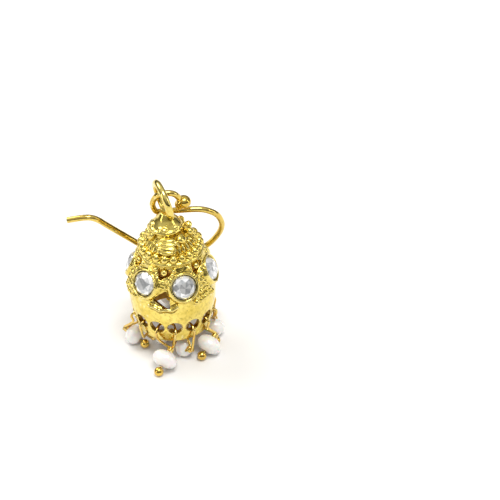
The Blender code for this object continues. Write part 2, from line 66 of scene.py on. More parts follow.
# The place of the earring on the table. Everything below is drawn in millimetres about the
# bell's own axis, with the rim at height 0 and the front along -Y, and then put in its place.
# The rim's lowest corners lie evenly round that axis, so their middle gives it.
MM = 0.001
rim_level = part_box("bell")[0].z
rim_corners = [v.co for v in frame["nodes"]["bell"].data.vertices if v.co.z < rim_level + 0.01 * MM]
axis_x = (min(v.x for v in rim_corners) + max(v.x for v in rim_corners)) / 2
axis_y = (min(v.y for v in rim_corners) + max(v.y for v in rim_corners)) / 2
on_table = Matrix.Translation((axis_x, axis_y, rim_level)) @ Matrix.Scale(MM, 4)

# The camera: a long lens from straight in front of the bell, looking down at it from a little
# under half of a right angle. It rolls a little, because the earring leans to the left.
SIGHT_ANGLE = 39.6
SIGHT_DISTANCE = 272.0
AIM_ACROSS = 12.16
AIM_UP = 10.88
SIGHT_ROLL = -2.8
sight = math.radians(SIGHT_ANGLE)
eye_point = on_table @ Vector((0.0, -SIGHT_DISTANCE * math.cos(sight), SIGHT_DISTANCE * math.sin(sight)))
towards_rim = (on_table @ Vector() - eye_point).to_track_quat("-Z", "Y").to_matrix()
rolled = Matrix.Rotation(math.radians(SIGHT_ROLL), 3, "Z")
turned_aside = Matrix.Rotation(-math.atan(AIM_ACROSS / SIGHT_DISTANCE), 3, "Y")
turned_up = Matrix.Rotation(math.atan(AIM_UP / SIGHT_DISTANCE), 3, "X")
lens = bpy.data.cameras.new("product_lens")
lens.sensor_width = 36.0
lens.lens = 122.4
lens.clip_start = 0.01
lens.clip_end = 20.0
camera = bpy.data.objects.new("camera", lens)
camera.location = eye_point
camera.rotation_euler = (towards_rim @ rolled @ turned_aside @ turned_up).to_euler()
bpy.context.collection.objects.link(camera)
bpy.context.scene.camera = camera

# The table: a plain pale sheet, softly lit, that the pearls and the balls of their pins stand
# on. It is wide, so that its edges lie far behind the earring from any side.
TABLE_SPAN = 4.0
TABLE_WHITE = (0.90, 0.893, 0.885, 1.0)


class Socket:
    """A node's output that takes part in sums, so that a formula reads as one."""

    def __init__(self, nodes, socket):
        self.nodes = nodes
        self.socket = socket

    def formula(self, operation, first, second=0.0):
        return self.nodes.add("ShaderNodeMath", {"operation": operation}, {0: first, 1: second})

    def __add__(self, other):
        return self.formula("ADD", self, other)

    def __radd__(self, other):
        return self.formula("ADD", other, self)

    def __sub__(self, other):
        return self.formula("SUBTRACT", self, other)

    def __rsub__(self, other):
        return self.formula("SUBTRACT", other, self)

    def __mul__(self, other):
        return self.formula("MULTIPLY", self, other)

    def __rmul__(self, other):
        return self.formula("MULTIPLY", other, self)


class Nodes:
    """A tree that nodes are added to, of a material or of Geometry Nodes."""

    def __init__(self, tree):
        self.tree = tree

    def add(self, kind, settings=None, sockets=None, output=0):
        """A new node: its settings are set first, then its sockets' values or links."""
        node = self.tree.nodes.new(kind)
        for name, value in (settings or {}).items():
            setattr(node, name, value)
        for key, value in (sockets or {}).items():
            if isinstance(value, Socket):
                self.tree.links.new(value.socket, node.inputs[key])
            else:
                node.inputs[key].default_value = value
        return Socket(self, node.outputs[output] if len(node.outputs) else None)

    def ramp(self, value, dark, light):
        """0 below dark, 1 above light, and a straight rise between them."""
        return self.add("ShaderNodeMapRange", {"clamp": True}, {0: value, 1: dark, 2: light})

    def blend(self, share, first, second):
        """A colour between two others."""
        return self.add("ShaderNodeMix", {"data_type": "RGBA"}, {0: share, 6: first, 7: second}, 2)


def finish_of(name):
    """An empty material, its nodes, and its place in millimetres."""
    made = bpy.data.materials.new(name)
    made.use_nodes = True
    made.node_tree.nodes.clear()
    nodes = Nodes(made.node_tree)
    place = nodes.add("ShaderNodeTexCoord", output=3)
    millimetres = nodes.add("ShaderNodeVectorMath", {"operation": "SCALE"}, {0: place, 3: 1 / MM})
    return made, nodes, millimetres


def surfaced(nodes, sockets):
    """The material's end: a Principled shader with these sockets, into the output."""
    shader = nodes.add("ShaderNodeBsdfPrincipled", None, sockets)
    nodes.add("ShaderNodeOutputMaterial", None, {"Surface": shader})


table_finish, nodes, place = finish_of("white_table")
surfaced(nodes, {"Base Color": TABLE_WHITE, "Roughness": 0.6})
table_mesh = bpy.data.meshes.new("table")
half = TABLE_SPAN / 2
table_mesh.from_pydata([(-half, -half, 0.0), (half, -half, 0.0), (half, half, 0.0), (-half, half, 0.0)],
                       [], [(0, 1, 2, 3)])
table_mesh.materials.append(table_finish)
table = bpy.data.objects.new("table", table_mesh)
bpy.context.collection.objects.link(table)

# The studio: a wide soft box high at the back left, which throws the soft shadow to the front
# right, another over the camera, a strip on each side for long highlights, and a dim room.
SOFT_BOXES = (
    ("key", (-0.30, 0.28, 0.46), 0.34, 0.34, 1.6, (1.0, 0.985, 0.965)),
    ("overhead", (0.10, -0.16, 0.62), 0.30, 0.18, 2.1, (1.0, 0.995, 0.98)),
    ("left_strip", (-0.50, -0.22, 0.16), 0.06, 0.30, 0.36, (1.0, 0.99, 0.97)),
    ("right_strip", (0.52, -0.10, 0.20), 0.06, 0.30, 0.36, (1.0, 0.99, 0.97)),
)
for name, spot, width, depth, power, colour in SOFT_BOXES:
    lamp = bpy.data.lights.new(name, "AREA")
    lamp.shape = "RECTANGLE"
    lamp.size = width
    lamp.size_y = depth
    lamp.energy = power
    lamp.color = colour
    box = bpy.data.objects.new(name, lamp)
    box.location = spot
    box.rotation_euler = (Vector((0.0, 0.0, 0.01)) - Vector(spot)).to_track_quat("-Z", "Y").to_euler()
    bpy.context.collection.objects.link(box)
WALLS = (0.05, 0.047, 0.04, 1.0)
CEILING = (0.84, 0.83, 0.81, 1.0)
room = bpy.data.worlds.new("room")
room.use_nodes = True
room.node_tree.nodes.clear()
nodes = Nodes(room.node_tree)
upwards = nodes.add("ShaderNodeSeparateXYZ", None, {0: nodes.add("ShaderNodeTexCoord")}, 2)
glow = nodes.blend(nodes.ramp(upwards, 0.1, 0.95), WALLS, CEILING)
light = nodes.add("ShaderNodeBackground", None, {0: glow})
nodes.add("ShaderNodeOutputWorld", None, {"Surface": light})
bpy.context.scene.world = room
bpy.context.scene.view_settings.view_transform = "Standard"


# The bell: one brass casting, gold plated. Its wall is hollow and open below, with a row of
# round holes above the rim, open triangles between the stones, and soft, worn cast edges.
RIM_RADIUS = 5.9
BAND_RADIUS = 6.8
BAND_HEIGHT = 6.4
SHOULDER_RADIUS = 5.0
SHOULDER_HEIGHT = 13.9
WALL = 0.9
WALL_LEVELS = 26
WALL_SIDES = 144
HOLE_COUNT = 14
HOLE_RADIUS = 1.18
HOLE_HEIGHT = 3.2
HOLE_AZIMUTH = 1.0
HOLE_SIDES = 28
HOLE_CUT = 4.0
OPENING_WIDTH = 3.4
OPENING_HEIGHT = 3.8
OPENING_BASE = 7.4
OPENING_CUT = 5.0
STONE_COUNT = 6
STONE_AZIMUTH = 16.5
STONE_HEIGHT = 10.8
STONE_TILT = 24.0
STONE_RADIUS = 1.9
SEAT_GAP = 0.11
POCKET_CUT = 2.6
POCKET_FLOOR = 0.9
CAST_SKIN = 0.11
CAST_SOFTENING = 2
CAST_KEPT = 0.66


def placed(name, mesh, finish):
    """A finished piece: its mesh leaves the bell's millimetres for its place on the table."""
    mesh.transform(on_table)
    mesh.materials.clear()
    mesh.materials.append(finish)
    piece = bpy.data.objects.new(name, mesh)
    bpy.context.collection.objects.link(piece)
    return piece


def around(azimuth, radius, height):
    """A point round the bell's axis: azimuth 0 is the front (-Y), + is towards +X."""
    angle = math.radians(azimuth)
    return Vector((radius * math.sin(angle), -radius * math.cos(angle), height))


def outward(azimuth, radius, height, tilt=0.0):
    """A frame at such a point whose Z looks outwards and up by the tilt, X along the wall."""
    turn = Matrix.Rotation(math.radians(azimuth), 4, "Z")
    lean = Matrix.Rotation(math.radians(90.0 - tilt), 4, "X")
    return Matrix.Translation(around(azimuth, radius, height)) @ turn @ lean


def wall_radius(height):
    """Outer radius of the bell's wall at a height above the rim."""
    if height <= BAND_HEIGHT:
        rise = math.sin(math.pi / 2 * max(height, 0.0) / BAND_HEIGHT)
        return RIM_RADIUS + (BAND_RADIUS - RIM_RADIUS) * rise
    rise = min((height - BAND_HEIGHT) / (SHOULDER_HEIGHT - BAND_HEIGHT), 1.0)
    return SHOULDER_RADIUS + (BAND_RADIUS - SHOULDER_RADIUS) * math.cos(math.pi / 2 * rise)


def as_mesh(work, name="form"):
    mesh = bpy.data.meshes.new(name)
    bmesh.ops.recalc_face_normals(work, faces=work.faces)
    work.to_mesh(mesh)
    work.free()
    return mesh


def turned(profile, steps, frame=Matrix()):
    """The (radius, height) profile turned round the frame's Z, closed at the axis or on itself."""
    work = bmesh.new()
    rings = []
    for radius, height in profile:
        if radius == 0.0:
            rings.append([work.verts.new((0.0, 0.0, height))] * steps)
            continue
        angles = [2 * math.pi * i / steps for i in range(steps)]
        rings.append([work.verts.new((radius * math.cos(a), radius * math.sin(a), height)) for a in angles])
    pairs = list(zip(rings, rings[1:]))
    if profile[0][0] > 0.0:
        pairs.append((rings[-1], rings[0]))
    for upper, lower in pairs:
        for i in range(steps):
            after = (i + 1) % steps
            corners = (upper[i], upper[after], lower[after], lower[i])
            work.faces.new(list(dict.fromkeys(corners)))
    bmesh.ops.transform(work, matrix=frame, verts=work.verts)
    return as_mesh(work)


def joined(meshes):
    """Meshes that overlap or stand apart, as one mesh."""
    work = bmesh.new()
    for mesh in meshes:
        work.from_mesh(mesh)
        bpy.data.meshes.remove(mesh)
    mesh = bpy.data.meshes.new("joined")
    work.to_mesh(mesh)
    work.free()
    return mesh


def reshaped(mesh, *modifiers):
    """The mesh after these modifiers, each given as (type, its settings)."""
    subject = bpy.data.objects.new("subject", mesh)
    bpy.context.collection.objects.link(subject)
    for kind, settings in modifiers:
        modifier = subject.modifiers.new(kind.lower(), kind)
        for name, value in settings.items():
            setattr(modifier, name, value)
    graph = bpy.context.evaluated_depsgraph_get()
    result = bpy.data.meshes.new_from_object(subject.evaluated_get(graph))
    bpy.data.objects.remove(subject, do_unlink=True)
    return result


def cut(mesh, cutters):
    tool = bpy.data.objects.new("cutter", joined(cutters))
    bpy.context.collection.objects.link(tool)
    result = reshaped(mesh, ("BOOLEAN", {"operation": "DIFFERENCE", "solver": "EXACT", "object": tool}))
    bpy.data.objects.remove(tool, do_unlink=True)
    return result


def cast(meshes, skin, softening, kept=1.0):
    """All the overlapping forms under one skin, its joints softened as in a casting.

    Only this share of its triangles is kept, so that plain stretches carry fewer of them.
    """
    return reshaped(joined(meshes), ("REMESH", {"mode": "VOXEL", "voxel_size": skin}),
                    ("SMOOTH", {"factor": 0.5, "iterations": softening}),
                    ("DECIMATE", {"ratio": kept}))


def prism(sides, radius, depth, frame):
    work = bmesh.new()
    bmesh.ops.create_cone(work, cap_ends=True, segments=sides, radius1=radius, radius2=radius, depth=depth)
    bmesh.ops.transform(work, matrix=frame, verts=work.verts)
    return as_mesh(work)


def stone_azimuths():
    return [STONE_AZIMUTH + i * 360.0 / STONE_COUNT for i in range(STONE_COUNT)]


def panel_azimuths():
    """The middles of the panels between two stones, the front one first."""
    return [azimuth - 180.0 / STONE_COUNT for azimuth in stone_azimuths()]


def seat_frame(azimuth):
    """Where a stone sits: on the wall, looking outwards and up."""
    return outward(azimuth, wall_radius(STONE_HEIGHT), STONE_HEIGHT, STONE_TILT)


def open_panels():
    """Every other panel has an opening with a rope under it, the front one first."""
    return panel_azimuths()[::2]


def closed_panels():
    """The panels between those carry the heaped grains."""
    return panel_azimuths()[1::2]


def bell_wall():
    """The wall from its rounded rim up to the shoulder, open at both ends."""
    levels = [SHOULDER_HEIGHT * i / WALL_LEVELS for i in range(1, WALL_LEVELS + 1)]
    outer = [(wall_radius(level), level) for level in levels]
    inner = [(radius - WALL, level) for radius, level in outer]
    rim = [(RIM_RADIUS - WALL + 0.06, 0.14), (RIM_RADIUS - WALL + 0.3, 0.0),
           (RIM_RADIUS - 0.28, 0.0), (RIM_RADIUS - 0.04, 0.16)]
    return turned(inner[::-1] + rim + outer, WALL_SIDES)


def hole_azimuth(index):
    return HOLE_AZIMUTH + index * 360.0 / HOLE_COUNT


def hole_cutters():
    made = []
    for index in range(HOLE_COUNT):
        seat = outward(hole_azimuth(index), wall_radius(HOLE_HEIGHT), HOLE_HEIGHT)
        made.append(prism(HOLE_SIDES, HOLE_RADIUS, HOLE_CUT, seat))
    return made


def triangle(azimuth, level, width, height, depth, quarter):
    """A three-sided cutter across the wall, its point up (quarter 1) or down (quarter -1)."""
    shape = Matrix.Diagonal((width / math.sqrt(3.0), height / 1.5, 1.0, 1.0))
    turn = Matrix.Rotation(quarter * math.pi / 2, 4, "Z")
    return prism(3, 1.0, depth, outward(azimuth, wall_radius(level), level) @ shape @ turn)


def opening_cutters():
    level = OPENING_BASE + OPENING_HEIGHT / 3
    return [triangle(azimuth, level, OPENING_WIDTH, OPENING_HEIGHT, OPENING_CUT, 1)
            for azimuth in open_panels()]


# The recess under the ribbed ring, over each panel: a dark triangular pocket, point down. It
# is cast in, sunk between two cups, and a ball sits in it.
RECESS_WIDTH = 3.0
RECESS_HEIGHT = 2.4
RECESS_TOP = 14.0
RECESS_DEPTH = 1.3


def recess_cutters():
    level = RECESS_TOP - RECESS_HEIGHT / 3
    return [triangle(azimuth, level, RECESS_WIDTH, RECESS_HEIGHT, RECESS_DEPTH, -1)
            for azimuth in panel_azimuths()]


def pocket_cutters():
    """Round bores for the stones, from over the wall down to their pockets' floor."""
    rise = Matrix.Translation((0.0, 0.0, POCKET_CUT / 2 - POCKET_FLOOR))
    return [prism(40, STONE_RADIUS + SEAT_GAP, POCKET_CUT, seat_frame(azimuth) @ rise)
            for azimuth in stone_azimuths()]


# The cups: a plain raised collar round each stone, leaning outwards, with a floor behind it.
# They are cast with the wall, and the stones go into them from the front.
CUP_MOUTH = 2.44
CUP_FOOT = 2.74
CUP_LIP = 0.27


def cups():
    seat = STONE_RADIUS + SEAT_GAP
    profile = [
        (0.0, -0.88), (seat * 0.6, -0.86), (seat - 0.06, -0.55), (seat - 0.04, 0.10),
        (seat + 0.05, CUP_LIP), (seat + 0.16, CUP_LIP + 0.05), (CUP_MOUTH - 0.05, CUP_LIP - 0.02),
        (CUP_MOUTH + 0.06, 0.08), (CUP_FOOT - 0.1, -0.35), (CUP_FOOT, -0.75),
        (CUP_FOOT - 0.25, -1.15), (0.0, -1.2),
    ]
    return [turned(profile, 56, seat_frame(azimuth)) for azimuth in stone_azimuths()]


# The grain work: small balls heaped in a triangle on each closed panel, a ball in every
# recess, and crumbs in short rows between the cups and up both sides of each recess.
GRAIN_RADIUS = 0.46
GRAIN_PITCH = 1.85
GRAIN_STRAY = 0.12
GRAIN_PROUD = 0.12
GRAIN_SEED = 7
HEAP_ROWS = 5
ROW_CLOSENESS = 0.9
RECESS_BALL = 0.52
BALL_DROP = 0.36
BALL_SUNK = 0.2
CRUMB_RADIUS = 0.3
CRUMB_ROWS = ((11.8, 5), (11.3, 4), (10.85, 3))
CRUMB_STEP = 5.0
CRUMB_RISE = 0.1
EDGE_CRUMBS = 3
EDGE_TOP = 13.5
EDGE_PITCH = 0.62
EDGE_AZIMUTH = 16.5
EDGE_STEP = 3.0


def named_inputs(tree, entries):
    """Adds the tree's inputs; returns each one's identifier by its name."""
    identifiers = {}
    for name, kind, default in entries:
        made = tree.interface.new_socket(name=name, in_out="INPUT", socket_type=kind)
        if default is not None:
            made.default_value = default
        identifiers[name] = made.identifier
    tree.interface.new_socket(name="Geometry", in_out="OUTPUT", socket_type="NodeSocketGeometry")
    return identifiers


def grown(mesh, tree, identifiers, values):
    """The mesh that the tree makes of a mesh, with these values for its named inputs."""
    subject = bpy.data.objects.new("subject", mesh)
    bpy.context.collection.objects.link(subject)
    modifier = subject.modifiers.new("growth", "NODES")
    modifier.node_group = tree
    for name, value in values.items():
        modifier[identifiers[name]] = value
    graph = bpy.context.evaluated_depsgraph_get()
    result = bpy.data.meshes.new_from_object(subject.evaluated_get(graph))
    bpy.data.objects.remove(subject, do_unlink=True)
    return result


def grain_tree(finish):
    """A ball, slightly uneven, on every point of a mesh."""
    tree = bpy.data.node_groups.new("grain_work", "GeometryNodeTree")
    identifiers = named_inputs(tree, (
        ("Points", "NodeSocketGeometry", None),
        ("Grain radius", "NodeSocketFloat", GRAIN_RADIUS),
        ("Smallest", "NodeSocketFloat", 0.9),
        ("Largest", "NodeSocketFloat", 1.15),
    ))
    nodes = Nodes(tree)
    given = nodes.tree.nodes.new("NodeGroupInput")
    points, radius, smallest, largest = [Socket(nodes, output) for output in given.outputs[:4]]
    sphere = nodes.add("GeometryNodeMeshUVSphere", None, {"Segments": 14, "Rings": 9, "Radius": radius})
    size = nodes.add("FunctionNodeRandomValue", {"data_type": "FLOAT"},
                     {2: smallest, 3: largest, "Seed": GRAIN_SEED}, 1)
    balls = nodes.add("GeometryNodeInstanceOnPoints", None,
                      {"Points": points, "Instance": sphere, "Scale": size})
    real = nodes.add("GeometryNodeRealizeInstances", None, {"Geometry": balls})
    dressed = nodes.add("GeometryNodeSetMaterial", None, {"Geometry": real, "Material": finish})
    nodes.add("NodeGroupOutput", None, {"Geometry": dressed})
    return tree, identifiers


def points_mesh(points):
    mesh = bpy.data.meshes.new("points")
    mesh.from_pydata(points, [], [])
    return mesh


def heap_points():
    points = []
    pitch = GRAIN_PITCH * GRAIN_RADIUS
    for azimuth in closed_panels():
        for row in range(HEAP_ROWS):
            level = OPENING_BASE + GRAIN_RADIUS + row * pitch * ROW_CLOSENESS
            count = HEAP_ROWS - row
            radius = wall_radius(level)
            for i in range(count):
                stray = GRAIN_STRAY * noise.noise(Vector((azimuth, row * 1.7, i * 2.3)))
                offset = math.degrees((i - (count - 1) / 2 + stray) * pitch / radius)
                points.append(around(azimuth + offset, radius + GRAIN_PROUD, level + stray))
    return points


def recess_ball_points():
    level = RECESS_TOP - RECESS_HEIGHT * BALL_DROP
    return [around(azimuth, wall_radius(level) - BALL_SUNK, level) for azimuth in panel_azimuths()]


def crumb_points():
    points = []
    for azimuth in panel_azimuths():
        for row, count in CRUMB_ROWS:
            for i in range(count):
                offset = (i - (count - 1) / 2) * CRUMB_STEP
                level = row + CRUMB_RISE * abs(i - count // 2)
                points.append(around(azimuth + offset, wall_radius(row), level))
        for side in (-1, 1):
            for i in range(EDGE_CRUMBS):
                offset = side * (EDGE_AZIMUTH - EDGE_STEP * i)
                level = EDGE_TOP - EDGE_PITCH * i
                points.append(around(azimuth + offset, wall_radius(level), level))
    return points


# The rope under each opening: a raised, wavy cord of the same metal, laid on the wall as its own
# wire. It lies between two grooves, whose hollows stay dark.
ROPE_RADIUS = 0.26
ROPE_SPAN = 40.0
ROPE_DROP = 0.2
ROPE_RISE = 0.55
ROPE_WAVE = 0.11
ROPE_WAVES = 8.0
ROPE_PROUD = 0.2
ROPE_STEPS = 48
ROPE_SIDES = 10
GROOVE_RADIUS = 0.22
GROOVE_SUNK = 0.08
GROOVE_REACH = 0.9


def wire_tree(finish):
    """A round wire along the edges of a mesh, with closed ends."""
    tree = bpy.data.node_groups.new("round_wire", "GeometryNodeTree")
    identifiers = named_inputs(tree, (
        ("Path", "NodeSocketGeometry", None),
        ("Wire radius", "NodeSocketFloat", 0.2),
        ("Sides", "NodeSocketInt", 12),
    ))
    nodes = Nodes(tree)
    given = nodes.tree.nodes.new("NodeGroupInput")
    path, radius, sides = [Socket(nodes, output) for output in given.outputs[:3]]
    curve = nodes.add("GeometryNodeMeshToCurve", None, {"Mesh": path})
    section = nodes.add("GeometryNodeCurvePrimitiveCircle", None, {"Resolution": sides, "Radius": radius})
    wire = nodes.add("GeometryNodeCurveToMesh", None,
                     {"Curve": curve, "Profile Curve": section, "Fill Caps": True})
    real = nodes.add("GeometryNodeRealizeInstances", None, {"Geometry": wire})
    dressed = nodes.add("GeometryNodeSetMaterial", None, {"Geometry": real, "Material": finish})
    nodes.add("NodeGroupOutput", None, {"Geometry": dressed})
    return tree, identifiers


def wire(points, radius, sides=12, closed=False):
    """A round wire through the points, capped, with its seams merged."""
    path = bpy.data.meshes.new("path")
    edges = [(i, i + 1) for i in range(len(points) - 1)]
    if closed:
        edges.append((len(points) - 1, 0))
    path.from_pydata(points, edges, [])
    mesh = grown(path, *wire_nodes, {"Wire radius": radius, "Sides": sides})
    work = bmesh.new()
    work.from_mesh(mesh)
    bmesh.ops.remove_doubles(work, verts=work.verts, dist=0.0005)
    return as_mesh(work)


def rope_line(azimuth, reach, lift, proud):
    """The rope's wavy line over this share of its span, moved up and out from its seat."""
    points = []
    for step in range(ROPE_STEPS + 1):
        share = (2 * step / ROPE_STEPS - 1) * reach
        wave = ROPE_WAVE * math.sin(share * ROPE_WAVES)
        level = OPENING_BASE - ROPE_DROP + lift + ROPE_RISE * share ** 2 + wave
        points.append(around(azimuth + share * ROPE_SPAN / 2, wall_radius(level) + proud, level))
    return points


def ropes():
    return [wire(rope_line(azimuth, 1.0, 0.0, ROPE_PROUD), ROPE_RADIUS, ROPE_SIDES)
            for azimuth in open_panels()]


def groove_cutters():
    """A groove over each rope and one under it."""
    lift = ROPE_RADIUS + GROOVE_RADIUS * 0.8
    return [wire(rope_line(azimuth, GROOVE_REACH, side * lift, -GROOVE_SUNK), GROOVE_RADIUS, ROPE_SIDES)
            for azimuth in open_panels() for side in (-1, 1)]


# The collars: the bright edge of each cup. It is rolled thin, burnished, and pressed over the
# stone's girdle.
COLLAR_RADIUS = 0.17
COLLAR_STEPS = 64


def circle(radius, level, count):
    angles = [2 * math.pi * i / count for i in range(count)]
    return [Vector((radius * math.cos(a), radius * math.sin(a), level)) for a in angles]


def collars():
    made = []
    for azimuth in stone_azimuths():
        edge = circle(STONE_RADIUS + SEAT_GAP + COLLAR_RADIUS, CUP_LIP, COLLAR_STEPS)
        made.append(wire([seat_frame(azimuth) @ point for point in edge], COLLAR_RADIUS, 12, closed=True))
    return made


# The gold plate, thin over cast brass: pale and bright, deeper in patches, with a painted highlight
# on its crests. Painted shade darkens its hollows and its dull brown inside, and dirt lies in its small
# pits.
PALE_GOLD = (0.90, 0.73, 0.20, 1.0)
DEEP_GOLD = (0.78, 0.60, 0.12, 1.0)
CREST_HIGHLIGHT = (1.0, 0.93, 0.55, 1.0)
OLIVE_STAIN = (0.46, 0.33, 0.05, 1.0)
HOLLOW_SHADE = (0.20, 0.13, 0.02, 1.0)
DARK_PIT = (0.12, 0.07, 0.01, 1.0)
INSIDE_SHADE_BROWN = (0.52, 0.27, 0.06, 1.0)
INSIDE_SHADE_START = 0.45
INSIDE_SHADE_BLEND = 0.35


def noise_at(nodes, place, scale, detail=2.0, roughness=0.5, warp=0.0):
    return nodes.add("ShaderNodeTexNoise", None, {"Vector": place, "Scale": scale, "Detail": detail,
                                                  "Roughness": roughness, "Distortion": warp})


def gold_finish(name, colour, deep, waves, grain, pits, dulness=0.07, shaded_inside=False):
    """Gold plate over brass: its tone drifts, its hollows are darkened with painted shade, its crests are
    lightened with a painted highlight, and its skin is uneven.

    A finish shaded inside is painted a dull brown shade where the mesh's attribute says that the metal faces
    in.
    """
    made, nodes, place = finish_of(name)
    drift = noise_at(nodes, place, 0.45, 3.0)
    cloud = noise_at(nodes, place, 1.9, 4.0, 0.6)
    swell = noise_at(nodes, place, 1.15, 2.0, 0.5, 0.6)
    ripple = noise_at(nodes, place, 3.2, 3.0, 0.55, 0.4)
    skin = noise_at(nodes, place, 11.0, 3.0, 0.6)
    pores = nodes.add("ShaderNodeTexVoronoi", {"feature": "F1"}, {"Vector": place, "Scale": 1.7})
    sparse = nodes.ramp(noise_at(nodes, place, 0.8, 1.0), 0.5, 0.6)
    pit = (1.0 - nodes.ramp(pores, 0.05, 0.16)) * sparse * pits
    # Painted light from the surface's curvature: painted shade in the hollows and a painted highlight on the
    # crests.
    edge = nodes.add("ShaderNodeNewGeometry", output=7)
    hollow_shade = 1.0 - nodes.ramp(edge, 0.42, 0.5)
    crest_highlight = nodes.ramp(edge, 0.51, 0.6)
    warm = nodes.blend(nodes.ramp(drift, 0.35, 0.65), colour, deep)
    bright = nodes.blend(crest_highlight * 0.5, warm, CREST_HIGHLIGHT)
    stained = nodes.blend(nodes.ramp(cloud, 0.46, 0.70) * 0.6, bright, OLIVE_STAIN)
    hollow_shaded = nodes.blend(hollow_shade * 0.85, stained, HOLLOW_SHADE)
    final = nodes.blend(pit * 0.8, hollow_shaded, DARK_PIT)
    height = swell * waves + ripple * (waves * 0.18) + skin * grain - pit * 0.05
    bump = nodes.add("ShaderNodeBump", None, {"Strength": 1.0, "Distance": MM, "Height": height})
    rough = nodes.ramp(cloud, 0.3, 0.8) * 0.12 + hollow_shade * 0.2 + dulness
    # Where the metal faces in, a painted shade: dull brown and rougher.
    if shaded_inside:
        inside = nodes.add("ShaderNodeAttribute", {"attribute_name": "faces_in"}, None, 2)
        final = nodes.blend(inside * 0.9, final, INSIDE_SHADE_BROWN)
        rough = rough + inside * 0.3
    surfaced(nodes, {"Base Color": final, "Metallic": 1.0, "Roughness": rough, "Normal": bump})
    return made


cast_gold = gold_finish("cast_gold", PALE_GOLD, DEEP_GOLD, waves=0.09, grain=0.001, pits=1.0,
                        dulness=0.09, shaded_inside=True)
smooth_gold = gold_finish("smooth_gold", PALE_GOLD, DEEP_GOLD, waves=0.022, grain=0.001, pits=0.4)
grain_nodes = grain_tree(cast_gold)
wire_nodes = wire_tree(cast_gold)

wall = cut(bell_wall(), hole_cutters())
wall = cut(wall, opening_cutters())
wall = cut(wall, recess_cutters())
wall = cut(wall, groove_cutters())
wall = cut(wall, pocket_cutters())
heaps = grown(points_mesh(heap_points()), *grain_nodes, {"Grain radius": GRAIN_RADIUS})
recess_balls = grown(points_mesh(recess_ball_points()), *grain_nodes, {"Grain radius": RECESS_BALL})
crumbs = grown(points_mesh(crumb_points()), *grain_nodes, {"Grain radius": CRUMB_RADIUS})
casting_forms = [wall, heaps, recess_balls, crumbs] + cups()
casting_mesh = cast(casting_forms, CAST_SKIN, CAST_SOFTENING, CAST_KEPT)
casting_mesh.shade_smooth()
# How far each point lies inside the wall, which sets the painted brown shade of the inside.
inside_shade_share = casting_mesh.attributes.new("faces_in", "FLOAT", "POINT")
for vertex in casting_mesh.vertices:
    depth = wall_radius(vertex.co.z) - math.hypot(vertex.co.x, vertex.co.y)
    share = (depth - WALL * INSIDE_SHADE_START) / (WALL * INSIDE_SHADE_BLEND)
    inside_shade_share.data[vertex.index].value = min(max(share, 0.0), 1.0)
casting = placed("bell_casting", casting_mesh, cast_gold)
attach(casting, "root")
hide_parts("bell")
edging_mesh = joined(collars() + ropes())
edging_mesh.shade_smooth()
edging = placed("bell_edging", edging_mesh, smooth_gold)
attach(edging, "root")
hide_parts("bell")


# The crown: the closed top of the same casting, in steps. A ring of radial ribs over a row of
# beads, a tier of petals, beads behind a lumpy round boss, and a neck that carries the ring.
CROWN_SKIN = 0.08
CROWN_SOFTENING = 5
CROWN_HEIGHT = 17.3
BOSS_SHIFT = -0.6
BOSS_RADIUS = 2.45
BOSS_TOP = 19.0
BOSS_LIP = 18.45
BOSS_BEAD_RING = 3.1
BOSS_BEAD_RADIUS = 0.62
BOSS_BEAD_STEP = 34.0
BOSS_BEAD_RISE = 0.3
RIDGE_RADIUS = 5.0
RIDGE_LEVEL = 14.45


def ball(radius, place, sides=16, stretch=(1.0, 1.0, 1.0), turn=Matrix()):
    """A ball, or an egg when it is stretched along the turned axes."""
    work = bmesh.new()
    bmesh.ops.create_uvsphere(work, u_segments=sides, v_segments=sides // 2 + 2, radius=radius)
    shape = Matrix.Translation(place) @ turn @ Matrix.Diagonal((*stretch, 1.0))
    bmesh.ops.transform(work, matrix=shape, verts=work.verts)
    return as_mesh(work)


def crown_body():
    """The steps under the ornament, from the flat top down to the smooth ridge at the foot."""
    profile = [
        (0.0, CROWN_HEIGHT + 0.2), (2.7, CROWN_HEIGHT + 0.1), (3.05, 16.95), (3.25, 16.5), (3.65, 15.9),
        (4.05, 15.3), (4.25, 15.05), (4.45, 14.9), (4.75, 14.8), (RIDGE_RADIUS, 14.72),
        (RIDGE_RADIUS + 0.17, 14.6), (RIDGE_RADIUS + 0.22, RIDGE_LEVEL), (RIDGE_RADIUS + 0.14, 14.28),
        (RIDGE_RADIUS - 0.08, 14.15), (RIDGE_RADIUS - 0.06, 13.85), (4.6, 13.6), (0.0, 14.7),
    ]
    return turned(profile, 120)


def boss():
    """The round boss, off the axis to the left, with a rolled lip."""
    shift = Matrix.Translation((BOSS_SHIFT, 0.0, 0.0))
    profile = [
        (0.0, BOSS_TOP + 0.1), (1.5, BOSS_TOP + 0.05), (2.1, BOSS_TOP - 0.08),
        (BOSS_RADIUS - 0.1, BOSS_TOP - 0.22), (BOSS_RADIUS + 0.04, BOSS_TOP - 0.42),
        (BOSS_RADIUS, BOSS_LIP - 0.1), (BOSS_RADIUS - 0.3, BOSS_LIP - 0.3),
        (BOSS_RADIUS - 0.35, 17.6), (BOSS_RADIUS - 0.2, 17.0), (0.0, 16.9),
    ]
    return turned(profile, 72, shift)


def neck():
    """A hollow-sided cone that spreads over the boss from under the soldered ring."""
    shift = Matrix.Translation((BOSS_SHIFT * 0.8, 0.1, 0.0))
    profile = [(0.0, 20.95), (0.85, 20.9), (1.1, 20.5), (1.4, 20.0), (1.75, 19.6), (2.05, 19.25),
               (2.3, 18.95), (2.35, 18.6), (0.0, 18.5)]
    return turned(profile, 40, shift)


